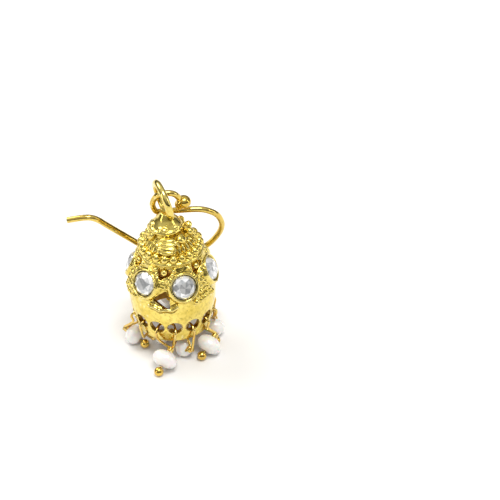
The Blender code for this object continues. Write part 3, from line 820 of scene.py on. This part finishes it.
def form_ring_tree(finish):
    """Equal round forms set in a ring about Z, each pointing outwards and down the slope."""
    tree = bpy.data.node_groups.new("ring_of_forms", "GeometryNodeTree")
    identifiers = named_inputs(tree, (
        ("Count", "NodeSocketInt", 12),
        ("Ring radius", "NodeSocketFloat", 4.0),
        ("Level", "NodeSocketFloat", 0.0),
        ("Fall", "NodeSocketFloat", 0.0),
        ("Form size", "NodeSocketVector", (1.0, 1.0, 1.0)),
        ("Unevenness", "NodeSocketFloat", 0.0),
    ))
    nodes = Nodes(tree)
    given = nodes.tree.nodes.new("NodeGroupInput")
    count, radius, level, fall, size, uneven = [Socket(nodes, output) for output in given.outputs[:6]]
    ring = nodes.add("GeometryNodeMeshCircle", None, {"Vertices": count, "Radius": radius})
    form = nodes.add("GeometryNodeMeshUVSphere", None, {"Segments": 16, "Rings": 12, "Radius": 1.0})
    place = nodes.add("GeometryNodeInputPosition")
    away = nodes.add("ShaderNodeVectorMath", {"operation": "NORMALIZE"}, {0: place})
    down = nodes.add("ShaderNodeCombineXYZ", None, {"Z": fall * -1.0})
    slope = nodes.add("ShaderNodeVectorMath", {"operation": "ADD"}, {0: away, 1: down})
    turn = nodes.add("FunctionNodeAlignRotationToVector", {"axis": "X", "pivot_axis": "AUTO"},
                     {"Vector": slope})
    varied = nodes.add("FunctionNodeRandomValue", {"data_type": "FLOAT"},
                       {2: 1.0 - uneven, 3: 1.0 + uneven, "Seed": GRAIN_SEED}, 1)
    scale = nodes.add("ShaderNodeVectorMath", {"operation": "SCALE"}, {0: size, 3: varied})
    forms = nodes.add("GeometryNodeInstanceOnPoints", None,
                      {"Points": ring, "Instance": form, "Rotation": turn, "Scale": scale})
    real = nodes.add("GeometryNodeRealizeInstances", None, {"Geometry": forms})
    lift = nodes.add("ShaderNodeCombineXYZ", None, {"Z": level})
    lifted = nodes.add("GeometryNodeTransform", None, {"Geometry": real, "Translation": lift})
    dressed = nodes.add("GeometryNodeSetMaterial", None, {"Geometry": lifted, "Material": finish})
    nodes.add("NodeGroupOutput", None, {"Geometry": dressed})
    return tree, identifiers


crown_gold = gold_finish("crown_gold", PALE_GOLD, DEEP_GOLD, waves=0.03, grain=0.0006, pits=0.5,
                         dulness=0.17)
form_nodes = form_ring_tree(crown_gold)


def ring_of_forms(count, radius, level, fall, size, uneven):
    return grown(points_mesh([]), *form_nodes, {
        "Count": count, "Ring radius": radius, "Level": level, "Fall": fall,
        "Form size": size, "Unevenness": uneven})


def crown_ornament():
    """From the foot up: oval beads, long ribs and petals, and then round beads behind the boss."""
    made = [
        ring_of_forms(21, radius=4.46, level=15.25, fall=0.7, size=(0.74, 0.68, 0.62), uneven=0.05),
        ring_of_forms(30, radius=3.58, level=16.2, fall=1.45, size=(0.82, 0.24, 0.46), uneven=0.04),
        ring_of_forms(7, radius=2.8, level=17.45, fall=0.9, size=(0.88, 0.98, 0.52), uneven=0.10),
    ]
    for step in (-3, -2, -1, 1, 2, 3):
        azimuth = 180.0 + step * BOSS_BEAD_STEP
        made.append(ball(BOSS_BEAD_RADIUS, around(azimuth, BOSS_BEAD_RING, CROWN_HEIGHT + BOSS_BEAD_RISE)))
    return made


# The tongue: rolls one under another at the front of the crown, below the boss, the last of
# them the thickest, and a leaf beside them.
TONGUE_AZIMUTH = -9.0
TONGUE_ROLLS = 3
TONGUE_RADIUS = 2.95
TONGUE_REACH = 1.15
TONGUE_TOP = 17.85
TONGUE_FALL = 1.5
TONGUE_WIDTH = 1.5
ROLL_DEPTH = 0.66
ROLL_HEIGHT = 0.34
LAST_ROLL_HEIGHT = 0.42
LEAF_AZIMUTH = 14.0


def tongue():
    made = []
    turn = Matrix.Rotation(math.radians(TONGUE_AZIMUTH), 4, "Z")
    for i in range(TONGUE_ROLLS + 1):
        share = i / TONGUE_ROLLS
        spot = around(TONGUE_AZIMUTH, TONGUE_RADIUS + TONGUE_REACH * share, TONGUE_TOP - TONGUE_FALL * share)
        width = TONGUE_WIDTH * (0.82 + 0.2 * math.sin(math.pi * share))
        height = LAST_ROLL_HEIGHT if i == TONGUE_ROLLS else ROLL_HEIGHT
        made.append(ball(1.0, spot, 18, (width, ROLL_DEPTH, height), turn))
    leaf_turn = outward(LEAF_AZIMUTH, 0.0, 0.0, 50.0) @ Matrix.Rotation(math.radians(35.0), 4, "Z")
    made.append(ball(1.0, around(LEAF_AZIMUTH, 3.05, 17.35), 16, (0.32, 1.05, 0.42), leaf_turn))
    return made


# The lumps over the boss: low buds round the neck, and long swellings along the front lip.
BUD_COUNT = 5
BUD_RADIUS = 0.85
BUD_RING = 1.75
SWELLING_COUNT = 6
SWELLING_RADIUS = 0.8
SWELLING_STEP = 44.0


def boss_lumps():
    made = []
    shift = Vector((BOSS_SHIFT, 0.0, 0.0))
    for i in range(BUD_COUNT):
        spot = around(-160.0 + i * 360.0 / BUD_COUNT, BUD_RING, BOSS_TOP - 0.02) + shift
        made.append(ball(BUD_RADIUS, spot, 20, (1.1, 0.8, 0.5), Matrix.Rotation(i * 1.3, 4, "Z")))
    for i in range(SWELLING_COUNT):
        azimuth = -110.0 + i * SWELLING_STEP
        spot = around(azimuth, BOSS_RADIUS - 0.2, BOSS_LIP + 0.06) + shift
        turn = Matrix.Rotation(math.radians(azimuth), 4, "Z")
        made.append(ball(SWELLING_RADIUS, spot, 18, (1.4, 0.5, 0.5), turn))
    return made


crown_forms = [crown_body(), boss(), neck()] + crown_ornament() + tongue() + boss_lumps()
crown_mesh = cast(crown_forms, CROWN_SKIN, CROWN_SOFTENING)
crown_mesh.shade_smooth()
crown = placed("bell_crown", crown_mesh, crown_gold)
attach(crown, "root")
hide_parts("bell")


# The ring on top: round brass wire closed in a circle and soldered to the neck, nearly edge-on
# to the sight line and leaning to the left.
RING_RADIUS = 2.85
RING_WIRE = 0.56
RING_CENTRE = Vector((-0.8, 0.95, 22.5))
RING_LEAN = 20.0
RING_OPEN = 6.0
RING_STEPS = 96
RING_SIDES = 20


def ring_frame():
    """The ring's own place: X along its lean, Y almost towards the lens, Z through its hole."""
    lean = math.radians(RING_LEAN)
    turn = math.radians(RING_OPEN)
    level = Vector((1.0, 0.0, 0.0))
    rise = Vector((0.0, math.sin(sight), math.cos(sight)))
    near = Vector((0.0, -math.cos(sight), math.sin(sight)))
    along = rise * math.cos(lean) - level * math.sin(lean)
    across = level * math.cos(lean) + rise * math.sin(lean)
    front = near * math.cos(turn) + across * math.sin(turn)
    tilted = Matrix((along, front, along.cross(front))).transposed().to_4x4()
    return Matrix.Translation(RING_CENTRE) @ tilted


ring_points = [ring_frame() @ point for point in circle(RING_RADIUS, 0.0, RING_STEPS)]
ring_mesh = wire(ring_points, RING_WIRE, RING_SIDES, closed=True)
ring_mesh.shade_smooth()
top_ring = placed("top_ring", ring_mesh, smooth_gold)
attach(top_ring, "root")
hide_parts("bell")


# The stones: round brilliants of clear pressed glass, foiled behind. Each facet's tone is a painted
# reflection of its own part of the room, with painted glints. They sit loose in their cups, the girdle just
# under the lip.
STONE_CROWN = 0.75
STONE_PAVILION = 0.8
STONE_GIRDLE = 0.18
TABLE_SHARE = 0.52
STAR_SHARE = 0.80
STAR_RISE = 0.58
CULET_SHARE = 0.5
CULET_FALL = 0.62
STONE_TURN = 11.0
DARK_FACET_REFLECTION = (0.50, 0.52, 0.54, 1.0)
BRIGHT_FACET_REFLECTION = (0.98, 0.99, 1.0, 1.0)
FACET_GLINT = (0.98, 0.98, 1.0, 1.0)


def stone_mesh(azimuth, number):
    """Table, stars, kites, girdle and pavilion, every face with its own tone of painted reflection."""
    table = STONE_RADIUS * TABLE_SHARE
    rings = (
        (8, table, STONE_CROWN + STONE_GIRDLE, 0.5),
        (8, STONE_RADIUS * STAR_SHARE, STONE_CROWN * STAR_RISE + STONE_GIRDLE, 0.0),
        (16, STONE_RADIUS, STONE_GIRDLE, 0.0),
        (16, STONE_RADIUS, 0.0, 0.0),
        (8, STONE_RADIUS * CULET_SHARE, -STONE_PAVILION * CULET_FALL, 0.5),
        (1, 0.0, -STONE_PAVILION, 0.0),
    )
    work = bmesh.new()
    for count, radius, level, shift in rings:
        for i in range(count):
            angle = 2 * math.pi * (i + shift) / count
            work.verts.new((radius * math.cos(angle), radius * math.sin(angle), level))
    bmesh.ops.convex_hull(work, input=work.verts)
    top = STONE_CROWN + STONE_GIRDLE
    table_faces = [face for face in work.faces if all(v.co.z > top - 0.001 for v in face.verts)]
    merged = bmesh.ops.dissolve_faces(work, faces=table_faces)["region"]
    bmesh.ops.poke(work, faces=merged)
    turn = Matrix.Rotation(math.radians(STONE_TURN * number), 4, "Z")
    bmesh.ops.transform(work, matrix=seat_frame(azimuth) @ turn, verts=work.verts)
    mesh = as_mesh(work, "stone")
    # Each face gets a random share between a dark and a bright painted reflection.
    tone = mesh.attributes.new("facet_reflection", "FLOAT", "FACE")
    for face in mesh.polygons:
        tone.data[face.index].value = noise.cell(face.center * 7.3 + Vector((number, 0.0, 0.0)))
    return mesh


def crystal_finish():
    made, nodes, place = finish_of("foiled_crystal")
    tone = nodes.add("ShaderNodeAttribute", {"attribute_name": "facet_reflection"}, None, 2)
    # The facets' tones are painted reflections, dark to bright, with painted glints from a slow noise.
    shade = nodes.ramp(tone, 0.1, 0.55)
    spark = noise_at(nodes, place, 1.6, 2.0)
    base = nodes.blend(shade, DARK_FACET_REFLECTION, BRIGHT_FACET_REFLECTION)
    glinted = nodes.blend(nodes.ramp(spark, 0.4, 0.65) * 0.45, base, FACET_GLINT)
    surfaced(nodes, {"Base Color": glinted, "Metallic": 0.55, "Roughness": 0.06 + shade * 0.12,
                     "Coat Weight": 1.0, "Coat Roughness": 0.02, "IOR": 1.55})
    return made


crystal = crystal_finish()
for number, azimuth in enumerate(stone_azimuths(), 1):
    stone = placed(f"cut_stone_{number}", stone_mesh(azimuth, number), crystal)
    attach(stone, "root")
    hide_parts(f"stone_{number}")


# The ear wire: round gold-plated wire bent by hand. An uneven ball closes the eye that hangs
# in the ring, then come the straight, the bend, the long leg behind the bell and the cut tip.
WIRE_RADIUS = 0.48
HOOK_WIDTH = 8.2
HOOK_DROP = 12.6
HOOK_REACH = 15.8
EYE_WIDTH = 3.9
EYE_HEIGHT = 5.1
HOOK_PLANE_TILT = 20.0
HOOK_PLANE_BACK = 3.84
HOOK_PLANE_HEIGHT = 18.11
END_BALL_RADIUS = 1.2
WIRE_SIDES = 24
WIRE_SPANS = 10
SHARP_ANGLE = 50.0
WIRE_GOLD = (0.80, 0.59, 0.14, 1.0)
WIRE_DEEP = (0.68, 0.46, 0.08, 1.0)


def flowing(points, spans, closed=False):
    """Catmull-Rom points through the route's own points, with so many spans between two."""
    count = len(points)
    result = []
    for i in range(count if closed else count - 1):
        if closed:
            before, start, end, after = [points[(i + k) % count] for k in (-1, 0, 1, 2)]
        else:
            before, start = points[max(i - 1, 0)], points[i]
            end, after = points[i + 1], points[min(i + 2, count - 1)]
        for step in range(spans):
            t = step / spans
            result.append(0.5 * (2 * start + (end - before) * t
                                 + (2 * before - 5 * start + 4 * end - after) * t ** 2
                                 + (3 * start - before - 3 * end + after) * t ** 3))
    if not closed:
        result.append(points[-1])
    return result


def hook_point(along, up):
    """A point of the ear wire's own plane, which leans back as it goes down."""
    tilt = math.radians(HOOK_PLANE_TILT)
    return Vector((along, HOOK_PLANE_BACK - up * math.sin(tilt), HOOK_PLANE_HEIGHT + up * math.cos(tilt)))


def hook_points():
    """The eye in shares of its size, then the straight, bend and leg in shares of the hook's."""
    eye_middle = -0.12 * EYE_WIDTH
    eye = ((0.50, 0.80), (0.30, 0.99), (-0.05, 1.03), (-0.33, 0.90), (-0.50, 0.56),
           (-0.47, 0.25), (-0.30, 0.06))
    straight_and_bend = ((0.10, 0.035), (0.55, 0.04), (0.78, -0.02), (0.93, -0.13), (1.0, -0.32),
                         (0.94, -0.52), (0.75, -0.75), (0.48, -0.92), (0.18, -1.0))
    leg = ((-0.06, -0.98), (-0.20, -0.86), (-0.33, -0.66), (-0.60, -0.25), (-0.69, -0.11),
           (-0.76, -0.045), (-0.84, -0.035), (-1.0, -0.07))
    points = [hook_point(END_BALL_RADIUS * 1.75, EYE_HEIGHT * 0.50)]
    points += [hook_point(eye_middle + x * EYE_WIDTH, y * EYE_HEIGHT) for x, y in eye]
    points += [hook_point(x * HOOK_WIDTH, y * HOOK_DROP) for x, y in straight_and_bend]
    points += [hook_point(x * HOOK_REACH, y * HOOK_DROP) for x, y in leg]
    return points


def end_ball(middle):
    """The wire's melted end: two lumps that have run into one."""
    upper = ball(1.1, middle + Vector((0.22, -0.1, 0.2)), 40, (1.05, 1.0, 0.94))
    lower = ball(0.95, middle + Vector((-0.25, 0.1, -0.4)), 36, (1.0, 0.9, 0.9))
    return cast([upper, lower], CROWN_SKIN, 3)


hook_route = hook_points()
hook_mesh = joined([wire(flowing(hook_route, WIRE_SPANS), WIRE_RADIUS, WIRE_SIDES), end_ball(hook_route[0])])
hook_mesh.shade_smooth()
hook_mesh.set_sharp_from_angle(angle=math.radians(SHARP_ANGLE))
wire_gold = gold_finish("wire_gold", WIRE_GOLD, WIRE_DEEP, waves=0.010, grain=0.001, pits=0.3)
hook = placed("hook_wire", hook_mesh, wire_gold)
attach(hook, "root")
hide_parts("ear_wire")


# The pearls: white button freshwater pearls, drilled through their thickness, none quite
# round. All of them, and the balls of their pins, rest on the table.
BORE_RADIUS = 0.4
PEARL_RINGS = 30
PEARL_SIDES = 56
PEARL_WIDER = 1.03
PEARL_LONGER = 1.14
CREAM_WHITE = (0.96, 0.94, 0.91, 1.0)
ROSE_WHITE = (0.94, 0.89, 0.89, 1.0)
GREEN_LUSTRE_SHEEN = (0.83, 0.88, 0.85, 1.0)
PIN_RADIUS = 0.2
PIN_CLEARANCE = 0.35
PIN_HEAD_RADIUS = 0.75
PIN_HEAD_GAP = 0.25
WRAP_LENGTH = 0.8
WRAP_GAP = 0.15
TABLE_DEPTH = rim_level / MM
DROP_COLUMNS = ("radius", "half", "azimuth", "distance", "heading", "holes")
DROPS = (
    (2.1, 1.20, -12.0, 7.90, -36.0, (-1, 0)),
    (1.5, 1.20, 17.7, 4.71, -145.0, (1,)),
    (2.0, 1.20, 50.0, 7.05, -42.0, (2,)),
    (1.6, 1.20, 88.0, 6.50, 0.0, (3, 4)),
    (1.9, 1.35, 145.0, 8.20, 160.0, (5,)),
    (2.0, 1.40, -179.0, 8.20, 165.0, (6, 7)),
    (1.8, 1.30, -144.0, 8.00, -160.0, (-6, -5)),
    (1.55, 1.25, -81.6, 6.50, 50.0, (-3,)),
    (1.5, 1.20, -58.0, 2.50, 128.0, (-2,)),
)


def resting_tilt(radius, half, head):
    """How far a pin slopes down when its pearl and its ball head both rest on the table."""
    square = head ** 2 + radius ** 2 - half ** 2
    linear = PIN_HEAD_RADIUS * head
    constant = PIN_HEAD_RADIUS ** 2 - radius ** 2
    return math.asin((-linear + math.sqrt(linear ** 2 - square * constant)) / square)


def drops():
    """Each drop's sizes, with the frame of its pin, whose Z points up the pin."""
    made = []
    for row in DROPS:
        drop = dict(zip(DROP_COLUMNS, row))
        drop["head"] = drop["half"] + PIN_HEAD_GAP + PIN_HEAD_RADIUS
        tilt = resting_tilt(drop["radius"], drop["half"], drop["head"])
        level = PIN_HEAD_RADIUS + drop["head"] * math.sin(tilt) - TABLE_DEPTH
        centre = around(drop["azimuth"], drop["distance"], level)
        drop["frame"] = (Matrix.Translation(centre)
                         @ Matrix.Rotation(math.radians(drop["heading"]), 4, "Z")
                         @ Matrix.Rotation(-(math.pi / 2 - tilt), 4, "X"))
        made.append(drop)
    return made


def pearl_mesh(drop, number):
    """A drilled button, made a little lopsided by a slow noise that leaves the bore alone."""
    radius = drop["radius"] * PEARL_WIDER
    half = drop["half"] * PEARL_LONGER
    edge = math.asin(BORE_RADIUS / drop["radius"])
    angles = [edge + (math.pi - 2 * edge) * i / (PEARL_RINGS - 1) for i in range(PEARL_RINGS)]
    mesh = turned([(radius * math.sin(angle), half * math.cos(angle)) for angle in angles], PEARL_SIDES)
    for vertex in mesh.vertices:
        reach = math.hypot(vertex.co.x, vertex.co.y)
        free = min(max((reach - BORE_RADIUS) / (drop["radius"] * 0.5), 0.0), 1.0)
        swell = noise.noise(vertex.co * 0.55 + Vector((number * 3.1, 0.0, 0.0)))
        ripple = noise.noise(vertex.co * 1.6 + Vector((0.0, number * 2.7, 0.0)))
        vertex.co *= 1.0 - free * (0.035 - 0.09 * swell - 0.022 * ripple)
    mesh.transform(drop["frame"])
    lowest = min(vertex.co.z for vertex in mesh.vertices)
    mesh.transform(Matrix.Translation((0.0, 0.0, -TABLE_DEPTH - lowest)))
    mesh.shade_smooth()
    return mesh


def pearl_finish():
    made, nodes, place = finish_of("freshwater_pearl")
    drift = noise_at(nodes, place, 0.55, 2.0)
    bands = noise_at(nodes, place, 1.4, 3.0, 0.5, 1.2)
    skin = noise_at(nodes, place, 5.0, 2.0)
    cream = nodes.blend(nodes.ramp(drift, 0.4, 0.62), CREAM_WHITE, ROSE_WHITE)
    # A painted lustre: a greenish sheen laid in bands over the cream.
    painted_lustre = nodes.blend(nodes.ramp(bands, 0.5, 0.66) * 0.5, cream, GREEN_LUSTRE_SHEEN)
    bump = nodes.add("ShaderNodeBump", None, {"Strength": 0.7, "Distance": MM,
                                              "Height": bands * 0.05 + skin * 0.006})
    surfaced(nodes, {"Base Color": painted_lustre, "Roughness": 0.16 + bands * 0.12, "Normal": bump,
                     "Subsurface Weight": 0.25, "Subsurface Scale": 0.6 * MM, "Coat Weight": 1.0,
                     "Coat Roughness": 0.06, "Specular IOR Level": 0.8, "Sheen Weight": 0.15})
    return made


pearl_look = pearl_finish()
for number, drop in enumerate(drops(), 1):
    pearl = placed(f"drilled_pearl_{number}", pearl_mesh(drop, number), pearl_look)
    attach(pearl, "root")
    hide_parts(f"pearl_{number}")


# The head pins: soft gold-coloured wire with a ball at one end. The wire goes up through the
# pearl, makes a loop through the bell's holes, is wrapped round itself and snipped off.
WRAP_RADIUS = 0.36
WRAP_TURNS = 2.6
WRAP_STEPS = 60
TAIL_LENGTH = 0.5
TAIL_STEPS = 4
TAIL_SPREAD = 0.3
PIN_SIDES = 12
LOOP_SPANS = 8
PIN_GOLD = (0.84, 0.56, 0.09, 1.0)
PIN_DEEP = (0.72, 0.42, 0.05, 1.0)


def narrow_loop(start, index):
    """From the wraps up outside the wall, in through one hole and back under the rim."""
    azimuth = hole_azimuth(index)
    below = math.degrees(math.atan2(start.x, -start.y))
    away = PIN_RADIUS + PIN_CLEARANCE
    sill = HOLE_HEIGHT - HOLE_RADIUS
    foot = RIM_RADIUS - WALL
    outside = [
        around(azimuth, wall_radius(sill / 2) + away, sill / 2),
        around(azimuth, wall_radius(sill) + away, sill + away * 0.5),
    ]
    inside = [
        around(azimuth, wall_radius(sill) - WALL / 2, sill + away * 1.6),
        around(azimuth, wall_radius(sill) - WALL - away, sill + away * 0.4),
        around((azimuth + below) / 2, foot - away * 0.9, sill / 4),
    ]
    under = around(below, foot + WALL / 2, -away)
    if math.hypot(start.x, start.y) > foot:
        return [start] + outside + inside + [around(below, foot - away * 0.4, -away * 0.7), under]
    return [start, under, around(azimuth, RIM_RADIUS + away * 0.8, -away * 0.4)] + outside + inside


def wide_loop(start, first, second):
    """From the wraps in through one hole, behind the post and out of the next."""
    low, high = hole_azimuth(first), hole_azimuth(second)
    middle = (low + high) / 2
    away = PIN_RADIUS + PIN_CLEARANCE
    sill = HOLE_HEIGHT - HOLE_RADIUS
    outside = [(sill * 0.45, away, 0.85), (sill + away * 0.5, away * 0.9, 1.0)]
    side = [around(middle + (azimuth - middle) * share, wall_radius(level) + gap, level)
            for azimuth in (low, high) for level, gap, share in outside]
    inner = [around(middle + (azimuth - middle) * 0.75, wall_radius(HOLE_HEIGHT) - WALL - away,
                    HOLE_HEIGHT - away * 0.5) for azimuth in (low, high)]
    in_hole = [around(azimuth, wall_radius(sill) - WALL / 2, sill + away * 1.7) for azimuth in (low, high)]
    behind = around(middle, wall_radius(HOLE_HEIGHT) - WALL - away * 1.1, HOLE_HEIGHT - away * 0.3)
    return [start, side[0], side[1], in_hole[0], inner[0], behind, inner[1], in_hole[1], side[3], side[2]]


def pin_mesh(drop, number):
    """Ball, stem, loop, wraps and the snipped tail of one pin."""
    wrap_start = drop["half"] + WRAP_GAP
    wrap_end = wrap_start + WRAP_LENGTH
    start = drop["frame"] @ Vector((0.0, 0.0, wrap_end - PIN_RADIUS * 0.5))
    if len(drop["holes"]) == 1:
        route = narrow_loop(start, drop["holes"][0])
    else:
        route = wide_loop(start, *drop["holes"])
    loop = wire(flowing(route, LOOP_SPANS, closed=True), PIN_RADIUS, PIN_SIDES, closed=True)
    stem_levels = (-drop["head"], 0.0, wrap_end)
    stem_points = [drop["frame"] @ Vector((0.0, 0.0, level)) for level in stem_levels]
    stem = wire(stem_points, PIN_RADIUS, PIN_SIDES)
    coil = []
    for i in range(WRAP_STEPS + 1):
        share = i / WRAP_STEPS
        angle = share * WRAP_TURNS * 2 * math.pi + number
        coil.append(Vector((WRAP_RADIUS * math.cos(angle), WRAP_RADIUS * math.sin(angle),
                            wrap_end - PIN_RADIUS - share * (WRAP_LENGTH - PIN_RADIUS))))
    last = coil[-1] - coil[-2]
    side = Vector((coil[-1].x, coil[-1].y, 0.0)).normalized()
    for i in range(1, TAIL_STEPS + 1):
        away = (last.normalized() + side * TAIL_SPREAD) * TAIL_LENGTH * i / TAIL_STEPS
        coil.append(coil[WRAP_STEPS] + away)
    wraps = wire([drop["frame"] @ point for point in coil], PIN_RADIUS, PIN_SIDES)
    head = ball(PIN_HEAD_RADIUS, drop["frame"] @ Vector((0.0, 0.0, -drop["head"])), 32)
    mesh = joined([loop, stem, wraps, head])
    mesh.shade_smooth()
    mesh.set_sharp_from_angle(angle=math.radians(SHARP_ANGLE))
    return mesh


pin_gold = gold_finish("pin_gold", PIN_GOLD, PIN_DEEP, waves=0.006, grain=0.001, pits=0.3)
for number, drop in enumerate(drops(), 1):
    pin = placed(f"wrapped_pin_{number}", pin_mesh(drop, number), pin_gold)
    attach(pin, "root")
    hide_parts(f"head_pin_{number}")
